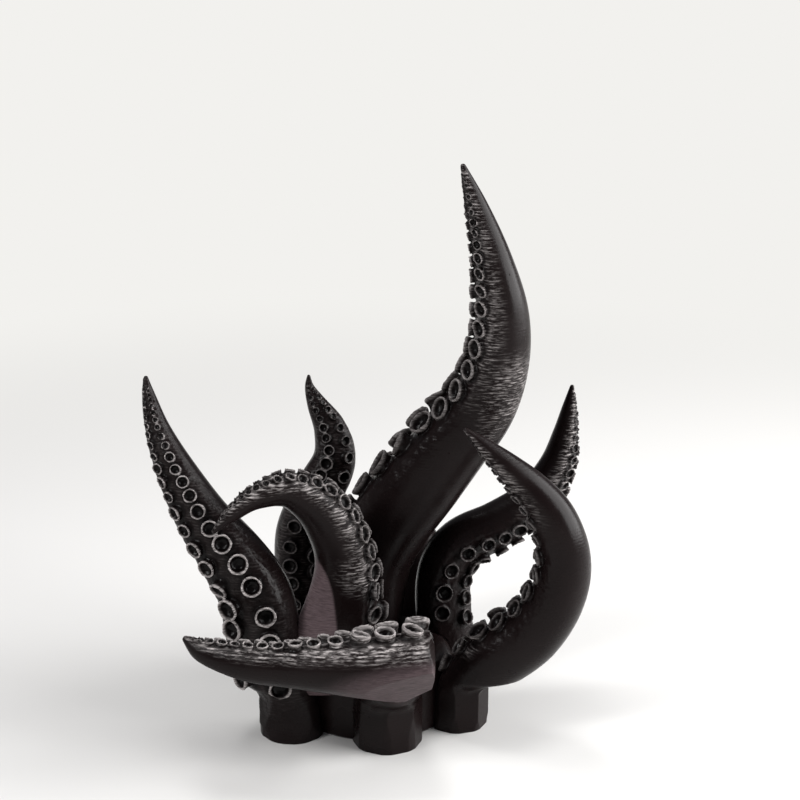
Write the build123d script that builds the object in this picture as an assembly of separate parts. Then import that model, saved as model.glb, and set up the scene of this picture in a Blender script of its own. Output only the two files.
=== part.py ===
from build123d import *
import bisect
import math
import os
from dataclasses import dataclass, replace

# An ornament of eight octopus arms, printed one by one and keyed to a round hub.
# The origin is the centre of the hub's underside, +Z is up and the front faces -Y.
# Lengths are millimetres and angles are degrees, measured from +X towards +Y.

# Root hub: the round core that every arm is keyed to
HUB_RADIUS = 28.5
HUB_HEIGHT = 26.0
HUB_SHOULDER = 8.0
HUB_FOOT_CHAMFER = 1.0
SEAT_GAP = 0.2
TRUNK_SET_OUT = 2.2

# Keyed pegs: square keys, half in the hub and half in an arm
PEG_SIDE = 6.0
PEG_LENGTH = 13.0
PEG_CHAMFER = 0.8
PEG_CLEARANCE = 0.15
PEG_END_CLEARANCE = 0.4
PEG_HEIGHT = 8.5

# Suckers: two staggered rows of dished cups along the flattened side of every arm
SUCKER_LEAST_RADIUS = 1.3
SUCKER_RADIUS_SHARE = 0.31
SUCKER_ROW_SHARE = 0.42
SUCKER_PITCH_SHARE = 0.72
SUCKER_STALK_SHARE = 0.84
SUCKER_LIP_SHARE = 0.68
SUCKER_PROUD_SHARE = 0.8
SUCKER_ROOT_SHARE = 0.8
SUCKER_DISH_SHARE = 0.6
SUCKER_SPLAY_ANGLE = 24.0
SUCKER_START_SHARE = 0.2

# Arm section: a round back and a flattened sucker side that meet at two soft edges
EDGE_ANGLE = 55.0
SUCKER_SIDE_SHARE = 0.78
ROUND_FOOT_SHARE = 0.12

# Tall arm: stands on the hub, leans right and curls back to the left at its tip
TALL_BEARING_ANGLE = 103.5
TALL_SUCKER_ANGLE = 125.0
TALL_TWIST_ANGLE = 100.0
TALL_GIRTH = 16.2
TALL_REACH = 47.0
TALL_DEPTH = 21.0
TALL_RISE = 182.5
TALL_SPINE_SHARES = (
    (0.00, 0.00, 0.00), (0.00, 0.03, 0.09), (0.04, 0.02, 0.185), (0.19, -0.08, 0.275),
    (0.41, -0.21, 0.36), (0.64, -0.335, 0.445), (0.85, -0.485, 0.52), (0.975, -0.67, 0.61),
    (1.00, -0.80, 0.71), (0.93, -0.91, 0.815), (0.82, -0.97, 0.915), (0.71, -1.00, 1.00),
)
TALL_GIRTH_SHARES = (0.80, 0.90, 0.97, 1.00, 0.99, 0.92, 0.83, 0.72, 0.62, 0.45, 0.26, 0.05)

# Left arm: leans out to the left, with its suckers below and in front
LEFT_BEARING_ANGLE = 213.7
LEFT_SUCKER_ANGLE = 255.0
LEFT_TWIST_ANGLE = 0.0
LEFT_LET_IN = 5.8
LEFT_GIRTH = 13.2
LEFT_REACH = 48.5
LEFT_DEPTH = 12.0
LEFT_RISE = 128.0
LEFT_SPINE_SHARES = (
    (0.00, 0.00, 0.00), (-0.02, 0.00, 0.06), (-0.14, -0.05, 0.17), (-0.20, -0.08, 0.30),
    (-0.25, -0.04, 0.41), (-0.41, 0.08, 0.515), (-0.61, 0.25, 0.62), (-0.80, 0.50, 0.75),
    (-0.92, 0.75, 0.855), (-0.98, 0.92, 0.945), (-1.00, 1.00, 1.00),
)
LEFT_GIRTH_SHARES = (0.88, 0.88, 0.97, 1.00, 0.98, 0.88, 0.715, 0.52, 0.335, 0.18, 0.05)

# Arch arm: rises from the hub's front, arches over to the left and points down
ARCH_BEARING_ANGLE = 234.7
ARCH_SUCKER_ANGLE = 330.0
ARCH_TWIST_ANGLE = 80.0
ARCH_GIRTH = 11.0
ARCH_REACH = 44.5
ARCH_DEPTH = 24.0
ARCH_RISE = 76.0
ARCH_SPINE_SHARES = (
    (0.00, 0.00, 0.00), (0.01, -0.03, 0.16), (0.02, -0.08, 0.36), (0.01, -0.14, 0.55),
    (-0.045, -0.22, 0.70), (-0.19, -0.34, 0.88), (-0.43, -0.54, 0.995), (-0.675, -0.75, 0.985),
    (-0.85, -0.90, 0.925), (-1.00, -1.00, 0.845),
)
ARCH_GIRTH_SHARES = (1.13, 1.10, 1.04, 0.98, 0.94, 0.83, 0.60, 0.40, 0.26, 0.07)

# Front arm: a root bends forward from its foot and carries an arm that lies across the front
FRONT_BEARING_ANGLE = 281.0
FRONT_SUCKER_ANGLE = 100.0
FRONT_SUCKER_RISE_ANGLE = 70.0
FRONT_SUCKER_START_SHARE = 0.08
FRONT_TWIST_ANGLE = 0.0
FRONT_LET_IN = 14.9
FRONT_GIRTH = 14.3
FRONT_REACH = 67.0
FRONT_DEPTH = 26.5
FRONT_RISE = 49.0
FRONT_ROOT_SPINE_SHARES = (
    (0.00, 0.00, 0.00), (0.00, -0.01, 0.20), (0.01, -0.10, 0.38), (0.03, -0.42, 0.58), (0.04, -0.80, 0.74),
)
FRONT_ROOT_GIRTH_SHARES = (0.87, 0.87, 0.83, 0.68, 0.58)
FRONT_SPINE_SHARES = (
    (0.235, -0.735, 0.785), (0.095, -0.78, 0.80), (-0.105, -0.92, 0.83), (-0.315, -1.00, 0.85),
    (-0.525, -1.00, 0.855), (-0.72, -0.93, 0.86), (-0.90, -0.85, 0.915), (-1.01, -0.77, 1.00),
)
FRONT_GIRTH_SHARES = (0.89, 0.92, 0.79, 0.64, 0.51, 0.465, 0.315, 0.06)

# Right front arm: swings out to the right and closes into a C
RIGHT_FRONT_BEARING_ANGLE = 338.2
RIGHT_FRONT_SUCKER_ANGLE = 140.0
RIGHT_FRONT_TWIST_ANGLE = 60.0
RIGHT_FRONT_LET_IN = 7.0
RIGHT_FRONT_GIRTH = 12.4
RIGHT_FRONT_REACH = 35.0
RIGHT_FRONT_DEPTH = 14.0
RIGHT_FRONT_RISE = 115.5
RIGHT_FRONT_SPINE_SHARES = (
    (0.00, 0.00, 0.00), (0.02, -0.02, 0.055), (0.105, -0.14, 0.14), (0.34, -0.36, 0.24),
    (0.68, -0.64, 0.335), (0.92, -0.86, 0.46), (1.00, -0.93, 0.585), (0.89, -1.00, 0.715),
    (0.70, -1.00, 0.80), (0.44, -1.00, 0.88), (0.215, -1.00, 0.945), (0.02, -1.00, 1.00),
)
RIGHT_FRONT_GIRTH_SHARES = (0.87, 0.88, 0.96, 1.02, 0.98, 0.885, 0.795, 0.69, 0.565, 0.415, 0.24, 0.06)

# Right rear arm: leans out to the right and ends with its tip upright
RIGHT_REAR_BEARING_ANGLE = 23.8
RIGHT_REAR_SUCKER_ANGLE = 280.0
RIGHT_REAR_TWIST_ANGLE = 80.0
RIGHT_REAR_LET_IN = 6.3
RIGHT_REAR_GIRTH = 11.6
RIGHT_REAR_REACH = 42.0
RIGHT_REAR_DEPTH = 11.0
RIGHT_REAR_RISE = 115.0
RIGHT_REAR_SPINE_SHARES = (
    (0.00, 0.00, 0.00), (-0.02, 0.02, 0.09), (-0.09, 0.18, 0.25), (-0.085, 0.32, 0.395),
    (0.06, 0.40, 0.485), (0.38, 0.50, 0.545), (0.695, 0.65, 0.625), (0.885, 0.82, 0.73),
    (0.955, 0.92, 0.835), (0.985, 1.00, 0.925), (1.00, 1.00, 1.00),
)
RIGHT_REAR_GIRTH_SHARES = (0.86, 0.88, 0.90, 0.87, 0.86, 0.80, 0.72, 0.61, 0.435, 0.25, 0.06)

# Back arm: leans away behind the tall arm and curls to the left
BACK_BEARING_ANGLE = 66.0
BACK_SUCKER_ANGLE = 60.0
BACK_TWIST_ANGLE = 0.0
BACK_LET_IN = 5.6
BACK_GIRTH = 11.4
BACK_REACH = 15.0
BACK_DEPTH = 26.5
BACK_RISE = 71.0
BACK_SPINE_SHARES = (
    (0.00, 0.00, 0.00), (0.05, 0.04, 0.13), (0.26, 0.22, 0.30), (0.36, 0.51, 0.465),
    (0.08, 0.74, 0.61), (-0.35, 0.88, 0.72), (-0.70, 0.95, 0.82), (-0.90, 0.98, 0.915),
    (-1.00, 1.00, 1.00),
)
BACK_GIRTH_SHARES = (0.87, 0.88, 0.97, 1.00, 0.87, 0.70, 0.50, 0.28, 0.06)

# Back left arm: a small S that shows between the left arm and the tall arm
BACK_LEFT_BEARING_ANGLE = 128.7
BACK_LEFT_SUCKER_ANGLE = 280.0
BACK_LEFT_TWIST_ANGLE = 0.0
BACK_LEFT_LET_IN = 5.6
BACK_LEFT_GIRTH = 9.7
BACK_LEFT_REACH = 13.0
BACK_LEFT_DEPTH = 13.0
BACK_LEFT_RISE = 114.5
BACK_LEFT_SPINE_SHARES = (
    (0.00, 0.00, 0.00), (-0.03, 0.02, 0.08), (-0.42, 0.22, 0.24), (-0.58, 0.30, 0.395),
    (-0.50, 0.36, 0.50), (-0.06, 0.48, 0.613), (0.42, 0.64, 0.724), (0.31, 0.82, 0.82),
    (-0.05, 0.90, 0.90), (-0.27, 1.00, 0.956), (-0.29, 1.00, 1.00),
)
BACK_LEFT_GIRTH_SHARES = (0.98, 0.98, 1.02, 1.00, 1.00, 0.955, 0.84, 0.645, 0.40, 0.19, 0.05)

# Drawing of an arm: steps along each span of its spine, sections to each pitch of its suckers,
# and steps from one section of a root to the next
STEPS_PER_SPAN = 16
SECTIONS_PER_PITCH = 4
ROOT_STEPS = 4


@dataclass(frozen=True)
class Arm:
    """One printed arm: its place on the hub, its spine and the way its sucker side faces."""

    name: str
    bearing: float
    ring: float
    start_height: float
    girth: float
    extent: tuple
    spine_shares: tuple
    girth_shares: tuple
    sucker_bearing: float
    twist: float
    sucker_rise: float = 0.0
    sucker_start_share: float = SUCKER_START_SHARE
    root_spine_shares: tuple = ()
    root_girth_shares: tuple = ()

    @property
    def root(self):
        """The root that carries a lying arm, drawn as an arm of its own."""
        return replace(self, spine_shares=self.root_spine_shares, girth_shares=self.root_girth_shares)

    @property
    def foot(self):
        """The point of the spine at the arm's root."""
        turn = math.radians(self.bearing)
        return Vector(self.ring * math.cos(turn), self.ring * math.sin(turn), self.start_height)


@dataclass(frozen=True)
class Station:
    """A place along an arm: its centre, its frame, its radius and how far along it is."""

    centre: Vector
    along: Vector
    sucker_way: Vector
    across: Vector
    radius: float
    share: float


def side_ring(girth, foot_share, let_in):
    """Distance from the hub's axis of an arm that stands beside the hub."""
    return HUB_RADIUS + girth * foot_share - let_in


def top_ring(girth, root_share):
    """Distance from the hub's axis of an arm that stands on the hub."""
    return girth * root_share + TRUNK_SET_OUT


def blend(row, span, step):
    """Value of a smooth curve through a row of values, a step along one span of it."""
    before = row[span - 1] if span > 0 else 2 * row[0] - row[1]
    start = row[span]
    end = row[span + 1]
    after = row[span + 2] if span + 2 < len(row) else 2 * end - start
    slope_in = (end - before) / 2
    slope_out = (after - start) / 2
    square = step * step
    cube = square * step
    return (
        start * (2 * cube - 3 * square + 1)
        + slope_in * (cube - 2 * square + step)
        + end * (3 * square - 2 * cube)
        + slope_out * (cube - square)
    )


def stations(arm):
    """Closely spaced stations along an arm, each with a frame that does not spin."""
    columns = list(zip(*arm.spine_shares))
    spans = len(arm.spine_shares) - 1
    centres = []
    radii = []
    for index in range(spans * STEPS_PER_SPAN + 1):
        span = min(index // STEPS_PER_SPAN, spans - 1)
        step = index / STEPS_PER_SPAN - span
        offset = [blend(column, span, step) * size for column, size in zip(columns, arm.extent)]
        centres.append(arm.foot + Vector(*offset))
        radii.append(arm.girth * blend(arm.girth_shares, span, step))
    turn = math.radians(arm.sucker_bearing)
    rise = math.radians(arm.sucker_rise)
    way = Vector(math.cos(turn) * math.cos(rise), math.sin(turn) * math.cos(rise), math.sin(rise))
    stands = not any(arm.spine_shares[0])
    placed = []
    for index, centre in enumerate(centres):
        before = centres[max(index - 1, 0)]
        after = centres[min(index + 1, len(centres) - 1)]
        along = Vector(0, 0, 1) if stands and index == 0 else (after - before).normalized()
        way = (way - along * way.dot(along)).normalized()
        share = index / (len(centres) - 1)
        turned = way.rotate(Axis((0, 0, 0), along), arm.twist * share)
        placed.append(Station(centre, along, turned, along.cross(turned), radii[index], share))
    return placed


def crown(station):
    """Middle of the sucker side at a station, round at the foot and flatter further on."""
    eased = min(station.share / ROUND_FOOT_SHARE, 1)
    return station.centre + station.sucker_way * (station.radius * (1 - (1 - SUCKER_SIDE_SHARE) * eased))


def pitch_counts(placed, start_share):
    """How many sucker pitches lie between the first sucker and each station, along the sucker side."""
    counts = [0]
    for before, after in zip(placed, placed[1:]):
        pitch = SUCKER_PITCH_SHARE * (before.radius + after.radius) / 2
        counts.append(counts[-1] + (crown(after) - crown(before)).length / pitch)
    first = counts[math.ceil(start_share * (len(placed) - 1))]
    return [count - first for count in counts]


def station_at(placed, counts, wanted):
    """The station at a count of pitches, drawn between its two neighbours."""
    index = min(max(bisect.bisect_left(counts, wanted), 1), len(counts) - 1)
    before = placed[index - 1]
    after = placed[index]
    step = (wanted - counts[index - 1]) / (counts[index] - counts[index - 1])

    def between(start, end):
        return start + (end - start) * step

    along = between(before.along, after.along).normalized()
    way = between(before.sucker_way, after.sucker_way)
    way = (way - along * way.dot(along)).normalized()
    return Station(
        between(before.centre, after.centre), along, way, along.cross(way),
        between(before.radius, after.radius), between(before.share, after.share),
    )


def section(station):
    """Outline of an arm at a station: two arcs round the back and one over the sucker side."""
    edge = math.radians(EDGE_ANGLE)
    middle = math.radians((180 + EDGE_ANGLE) / 2)

    def at(angle, radius):
        return station.centre + station.across * (math.sin(angle) * radius) \
            + station.sucker_way * (math.cos(angle) * radius)

    radius = station.radius
    right = at(edge, radius)
    left = at(-edge, radius)
    back = at(math.pi, radius)
    return Wire([
        Edge.make_three_point_arc(back, at(middle, radius), right),
        Edge.make_three_point_arc(right, crown(station), left),
        Edge.make_three_point_arc(left, at(-middle, radius), back),
    ])


def loft_along(placed):
    """Solid through the outlines at a row of stations."""
    return Solid.make_loft([section(station) for station in placed], ruled=True)


def sucker(radius):
    """A dished cup on a narrower stalk, with its axis along Z and its root below zero."""
    top = radius * SUCKER_PROUD_SHARE
    root = radius * SUCKER_ROOT_SHARE
    outline = Polyline(
        (0, 0, -root),
        (radius * SUCKER_STALK_SHARE, 0, -root),
        (radius, 0, top),
        (radius * SUCKER_LIP_SHARE, 0, top),
        (0, 0, top - radius * SUCKER_DISH_SHARE),
        close=True,
    )
    return revolve(make_face(outline), Axis.Z)


def sucker_stations(placed, counts):
    """Stations of the suckers, half a pitch apart by turns in the two rows, without those too small."""
    seats = [station_at(placed, counts, index / 2) for index in range(math.floor(2 * counts[-1]))]
    return [seat for seat in seats if seat.radius * SUCKER_RADIUS_SHARE >= SUCKER_LEAST_RADIUS]


def section_stations(placed, counts, suckers):
    """Stations of the outlines: even among the suckers, so that none grazes one, and wider at the tip."""
    first = math.ceil(counts[0] * SECTIONS_PER_PITCH) + 1
    marks = [mark / SECTIONS_PER_PITCH for mark in range(first, (suckers // 2 + 1) * SECTIONS_PER_PITCH)]
    marks += range(suckers // 2 + 1, math.floor(counts[-1]))
    return [placed[0]] + [station_at(placed, counts, mark) for mark in marks] + [placed[-1]]


def sucker_place(station, side):
    """Plane at the foot of a sucker, leaning out to one side of the arm."""
    splay = math.radians(SUCKER_SPLAY_ANGLE)
    aside = station.radius * SUCKER_ROW_SHARE
    drop = aside * math.tan(splay) / 2
    seat = crown(station) + station.across * (aside * side) - station.sucker_way * drop
    out = station.sucker_way * math.cos(splay) + station.across * (math.sin(splay) * side)
    return Plane(origin=seat, x_dir=station.along, z_dir=out)


def hub_body(grown):
    """The hub's outer form, grown all over by a gap."""
    drum = Cylinder(HUB_RADIUS + grown, HUB_HEIGHT + grown, align=(Align.CENTER, Align.CENTER, Align.MIN))
    return fillet(drum.faces().sort_by(Axis.Z)[-1].edges(), HUB_SHOULDER + grown)


def peg_place(arm):
    """Plane at the middle of an arm's peg, with Z along the peg."""
    turn = math.radians(arm.bearing)
    if arm.start_height > 0:
        return Plane(origin=(arm.foot.X, arm.foot.Y, HUB_HEIGHT), x_dir=(math.cos(turn), math.sin(turn), 0))
    out = Vector(math.cos(turn), math.sin(turn), 0)
    return Plane(origin=out * HUB_RADIUS + Vector(0, 0, PEG_HEIGHT), x_dir=(0, 0, 1), z_dir=out)


def peg():
    """A square key with chamfered ends, centred on its middle."""
    key = Box(PEG_SIDE, PEG_SIDE, PEG_LENGTH)
    ends = key.faces().sort_by(Axis.Z)
    return chamfer(ends[0].edges() + ends[-1].edges(), PEG_CHAMFER)


def socket():
    """Room for a peg, with its clearances."""
    side = PEG_SIDE + 2 * PEG_CLEARANCE
    return Box(side, side, PEG_LENGTH + 2 * PEG_END_CLEARANCE)


def build_arm(arm):
    """One arm with its suckers, seated on the hub and socketed for its peg."""
    placed = stations(arm)
    counts = pitch_counts(placed, arm.sucker_start_share)
    seats = sucker_stations(placed, counts)
    body = loft_along(section_stations(placed, counts, len(seats)))
    added = []
    if arm.root_spine_shares:
        added.append(loft_along(stations(arm.root)[::ROOT_STEPS]))
    for index, station in enumerate(seats):
        side = 1 if index % 2 == 0 else -1
        added.append((sucker_place(station, side) * sucker(station.radius * SUCKER_RADIUS_SHARE)).solid())
    body = body.fuse(*added)
    return body - hub_body(SEAT_GAP) - peg_place(arm) * socket()


def build_hub(arms):
    """The hub with a socket for every arm's peg."""
    hub = hub_body(0)
    hub = chamfer(hub.faces().sort_by(Axis.Z)[0].edges(), HUB_FOOT_CHAMFER)
    return hub - [peg_place(arm) * socket() for arm in arms]


def top_arm(name, bearing, girth, extent, spine_shares, girth_shares, sucker_bearing, twist):
    """An arm that stands on the hub's shoulder."""
    ring = top_ring(girth, girth_shares[0])
    start = HUB_HEIGHT - HUB_SHOULDER
    return Arm(name, bearing, ring, start, girth, extent, spine_shares, girth_shares, sucker_bearing, twist)


def side_arm(name, bearing, let_in, girth, extent, spine_shares, girth_shares, sucker_bearing, twist):
    """An arm whose foot stands on the floor beside the hub."""
    ring = side_ring(girth, girth_shares[0], let_in)
    return Arm(name, bearing, ring, 0, girth, extent, spine_shares, girth_shares, sucker_bearing, twist)


def lying_arm(name, bearing, let_in, girth, extent, spine_shares, girth_shares, root_spine_shares,
              root_girth_shares, sucker_bearing, sucker_rise, sucker_start_share, twist):
    """An arm that lies on a root of its own, whose foot stands on the floor beside the hub."""
    ring = side_ring(girth, root_girth_shares[0], let_in)
    return Arm(
        name, bearing, ring, 0, girth, extent, spine_shares, girth_shares, sucker_bearing, twist,
        sucker_rise, sucker_start_share, root_spine_shares, root_girth_shares,
    )


ARMS = (
    top_arm(
        "tall_arm", TALL_BEARING_ANGLE, TALL_GIRTH, (TALL_REACH, TALL_DEPTH, TALL_RISE),
        TALL_SPINE_SHARES, TALL_GIRTH_SHARES, TALL_SUCKER_ANGLE, TALL_TWIST_ANGLE,
    ),
    side_arm(
        "left_arm", LEFT_BEARING_ANGLE, LEFT_LET_IN, LEFT_GIRTH, (LEFT_REACH, LEFT_DEPTH, LEFT_RISE),
        LEFT_SPINE_SHARES, LEFT_GIRTH_SHARES, LEFT_SUCKER_ANGLE, LEFT_TWIST_ANGLE,
    ),
    top_arm(
        "arch_arm", ARCH_BEARING_ANGLE, ARCH_GIRTH, (ARCH_REACH, ARCH_DEPTH, ARCH_RISE),
        ARCH_SPINE_SHARES, ARCH_GIRTH_SHARES, ARCH_SUCKER_ANGLE, ARCH_TWIST_ANGLE,
    ),
    lying_arm(
        "front_arm", FRONT_BEARING_ANGLE, FRONT_LET_IN, FRONT_GIRTH, (FRONT_REACH, FRONT_DEPTH, FRONT_RISE),
        FRONT_SPINE_SHARES, FRONT_GIRTH_SHARES, FRONT_ROOT_SPINE_SHARES, FRONT_ROOT_GIRTH_SHARES,
        FRONT_SUCKER_ANGLE, FRONT_SUCKER_RISE_ANGLE, FRONT_SUCKER_START_SHARE, FRONT_TWIST_ANGLE,
    ),
    side_arm(
        "right_front_arm", RIGHT_FRONT_BEARING_ANGLE, RIGHT_FRONT_LET_IN, RIGHT_FRONT_GIRTH,
        (RIGHT_FRONT_REACH, RIGHT_FRONT_DEPTH, RIGHT_FRONT_RISE), RIGHT_FRONT_SPINE_SHARES,
        RIGHT_FRONT_GIRTH_SHARES, RIGHT_FRONT_SUCKER_ANGLE, RIGHT_FRONT_TWIST_ANGLE,
    ),
    side_arm(
        "right_rear_arm", RIGHT_REAR_BEARING_ANGLE, RIGHT_REAR_LET_IN, RIGHT_REAR_GIRTH,
        (RIGHT_REAR_REACH, RIGHT_REAR_DEPTH, RIGHT_REAR_RISE), RIGHT_REAR_SPINE_SHARES,
        RIGHT_REAR_GIRTH_SHARES, RIGHT_REAR_SUCKER_ANGLE, RIGHT_REAR_TWIST_ANGLE,
    ),
    side_arm(
        "back_arm", BACK_BEARING_ANGLE, BACK_LET_IN, BACK_GIRTH, (BACK_REACH, BACK_DEPTH, BACK_RISE),
        BACK_SPINE_SHARES, BACK_GIRTH_SHARES, BACK_SUCKER_ANGLE, BACK_TWIST_ANGLE,
    ),
    side_arm(
        "back_left_arm", BACK_LEFT_BEARING_ANGLE, BACK_LEFT_LET_IN, BACK_LEFT_GIRTH,
        (BACK_LEFT_REACH, BACK_LEFT_DEPTH, BACK_LEFT_RISE), BACK_LEFT_SPINE_SHARES,
        BACK_LEFT_GIRTH_SHARES, BACK_LEFT_SUCKER_ANGLE, BACK_LEFT_TWIST_ANGLE,
    ),
)


def main():
    """Build every piece and write it as its own file."""
    os.makedirs("parts", exist_ok=True)
    pieces = {arm.name: build_arm(arm) for arm in ARMS}
    pieces["root_hub"] = build_hub(ARMS)
    pieces["keyed_pegs"] = Compound([(peg_place(arm) * peg()).solid() for arm in ARMS])
    for name, piece in pieces.items():
        piece.label = name
        export_step(piece, os.path.join("parts", name + ".step"))


if __name__ == "__main__":
    main()
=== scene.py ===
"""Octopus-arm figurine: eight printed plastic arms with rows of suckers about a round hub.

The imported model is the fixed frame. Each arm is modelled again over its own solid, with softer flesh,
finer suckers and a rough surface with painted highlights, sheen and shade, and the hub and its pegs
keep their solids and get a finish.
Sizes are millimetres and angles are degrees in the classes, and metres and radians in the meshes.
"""
import logging
import math
from dataclasses import dataclass, field, replace
from enum import Enum

import bmesh
import bpy
import numpy as np
from mathutils import Matrix, Vector

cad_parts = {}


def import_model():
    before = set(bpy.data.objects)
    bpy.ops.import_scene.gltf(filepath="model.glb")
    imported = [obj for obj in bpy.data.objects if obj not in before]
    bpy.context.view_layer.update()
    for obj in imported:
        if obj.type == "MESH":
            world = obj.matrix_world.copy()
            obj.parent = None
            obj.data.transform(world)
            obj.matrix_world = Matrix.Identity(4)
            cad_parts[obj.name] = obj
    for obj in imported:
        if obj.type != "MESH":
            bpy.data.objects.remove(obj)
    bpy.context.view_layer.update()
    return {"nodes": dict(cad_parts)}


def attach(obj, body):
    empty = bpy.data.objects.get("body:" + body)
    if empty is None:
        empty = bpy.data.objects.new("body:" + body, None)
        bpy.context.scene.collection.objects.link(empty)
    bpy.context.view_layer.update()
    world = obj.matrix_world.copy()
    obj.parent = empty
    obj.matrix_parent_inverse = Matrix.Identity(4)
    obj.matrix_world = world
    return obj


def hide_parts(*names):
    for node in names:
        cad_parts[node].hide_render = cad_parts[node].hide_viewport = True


LOG = logging.getLogger("octopus_arms")
MM = 0.001
BODY = "root"
# Attributes of each arm's skin: lips get a painted highlight, cups painted shade, the scuffed side painted
# glints, propped flats a partly painted sheen and up-facing faces painted highlight lines.
SKINS = ("rim", "cup", "scuff_and_glint", "dry_and_sheen", "level")
TINY = 1e-6


class Stand(Enum):
    """What an arm stands on."""

    FLOOR = "beside the hub, with its foot on the floor"
    HUB = "on the hub"


def linear(hex_colour: str, alpha: float = 1.0) -> tuple[float, float, float, float]:
    """Turn an sRGB hex colour into linear red, green, blue and alpha.

    Args:
        hex_colour: Six hex digits after a hash sign.
        alpha: The alpha value to add.

    Returns:
        The linear colour.
    """
    values = []
    for start in (1, 3, 5):
        share = int(hex_colour[start:start + 2], 16) / 255
        values.append(share / 12.92 if share <= 0.04045 else ((share + 0.055) / 1.055) ** 2.4)
    return values[0], values[1], values[2], alpha


def add_node(tree: bpy.types.NodeTree, kind: str, links: dict | tuple = (),
             **settings: object) -> bpy.types.Node:
    """Add one shader node with its settings and its inputs.

    Args:
        tree: The node tree to add to.
        kind: The node's type name.
        links: Input name or number to a plain value or to an output socket, or the first inputs in order.
        settings: Properties of the node.

    Returns:
        The new node.
    """
    node = tree.nodes.new(kind)
    for name, value in settings.items():
        setattr(node, name, value)
    for key, value in links.items() if isinstance(links, dict) else enumerate(links):
        socket = node.inputs[key]
        if isinstance(value, bpy.types.NodeSocket):
            tree.links.new(value, socket)
        else:
            socket.default_value = value
    return node


def blank_material(name: str) -> bpy.types.Material:
    """Start a node material that has no nodes yet."""
    material = bpy.data.materials.new(name)
    material.use_nodes = True
    material.node_tree.nodes.clear()
    return material


def select_only(obj: bpy.types.Object) -> None:
    """Leave one object selected and active."""
    bpy.ops.object.select_all(action="DESELECT")
    obj.select_set(True)
    bpy.context.view_layer.objects.active = obj


def apply_modifier(obj: bpy.types.Object, kind: str, **settings: object) -> None:
    """Add a modifier with its settings and apply it at once.

    Args:
        obj: The object to change.
        kind: The modifier's type name.
        settings: Properties of the modifier.
    """
    select_only(obj)
    modifier = obj.modifiers.new(kind.lower(), kind)
    for name, value in settings.items():
        setattr(modifier, name, value)
    bpy.ops.object.modifier_apply(modifier=modifier.name)


def basis_about(axis: Vector) -> Matrix:
    """A right-handed basis whose third column is the axis."""
    side = axis.orthogonal().normalized()
    return Matrix((side, axis.cross(side), axis)).transposed()


def smooth_step(low: float, high: float, values: np.ndarray) -> np.ndarray:
    """Ease values from 0 at low to 1 at high."""
    share = np.clip((values - low) / (high - low), 0, 1)
    return share * share * (3 - 2 * share)


def vertex_places(obj: bpy.types.Object) -> np.ndarray:
    """The places of an object's vertices, one row each."""
    places = np.empty(len(obj.data.vertices) * 3, np.float32)
    obj.data.vertices.foreach_get("co", places)
    return places.reshape(-1, 3).astype(float)


def vertex_normals(obj: bpy.types.Object) -> np.ndarray:
    """The normals of an object's vertices, one row each."""
    normals = np.empty(len(obj.data.vertices) * 3, np.float32)
    obj.data.vertex_normals.foreach_get("vector", normals)
    return normals.reshape(-1, 3).astype(float)


@dataclass(frozen=True)
class HubPlan:
    """Sizes of the hub and of the keyed pegs, in millimetres."""

    radius: float = 28.5
    height: float = 26.0
    shoulder: float = 8.0
    seat_gap: float = 0.2
    trunk_set_out: float = 2.2
    peg_side: float = 6.0
    peg_length: float = 13.0
    peg_height: float = 8.5
    peg_clearance: float = 0.15
    peg_end_clearance: float = 0.4


@dataclass(frozen=True)
class Facet:
    """A flat planed off an arm, in millimetres, which goes all over the arm unless it is held back.

    Its point lies on it and its normal is the way that it faces. It fades out below its top, and between
    two distances from the spine that are shares of the radius.
    """

    point: tuple[float, float, float]
    normal: tuple[float, float, float]
    top: float = 1000.0
    fade: float = 8.0
    reach_shares: tuple[float, float] = (100.0, 101.0)
    # How rough the flat is and how much pale mauve it gets, partly painted sheen.
    dry_and_sheen: float = 0.0
    dry_fade: float = 5.0

    def heights(self, places: np.ndarray) -> np.ndarray:
        """How far each place stands over the flat, in metres."""
        return (places - np.array(self.point) * MM) @ np.array(Vector(self.normal).normalized())

    def hold(self, places: np.ndarray, offsets: np.ndarray) -> np.ndarray:
        """How strongly the flat shapes each place, from 0 to 1.

        Args:
            places: Places in metres, one row each.
            offsets: The same places from the spine, as shares of the radius.

        Returns:
            One share for each place.
        """
        low = 1 - smooth_step((self.top - self.fade) * MM, self.top * MM, places[:, 2])
        return low * (1 - smooth_step(*self.reach_shares, np.linalg.norm(offsets, axis=1)))

    def trim(self, places: np.ndarray, offsets: np.ndarray) -> np.ndarray:
        """Press every place that stands over the flat back onto it.

        Args:
            places: Places in metres, one row each.
            offsets: The same places from the spine, as shares of the radius.

        Returns:
            The changed places.
        """
        proud = np.maximum(self.heights(places), 0) * self.hold(places, offsets)
        return places - np.outer(proud, np.array(Vector(self.normal).normalized()))

    def dryness_and_sheen(self, places: np.ndarray, offsets: np.ndarray) -> np.ndarray:
        """How far each place takes the flat's roughness and pale mauve, which is partly painted sheen, from 0
        to the flat's own share on it.
        """
        near = 1 - smooth_step(0, self.dry_fade * MM, np.abs(self.heights(places)))
        return self.dry_and_sheen * near * self.hold(places, offsets)


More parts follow.
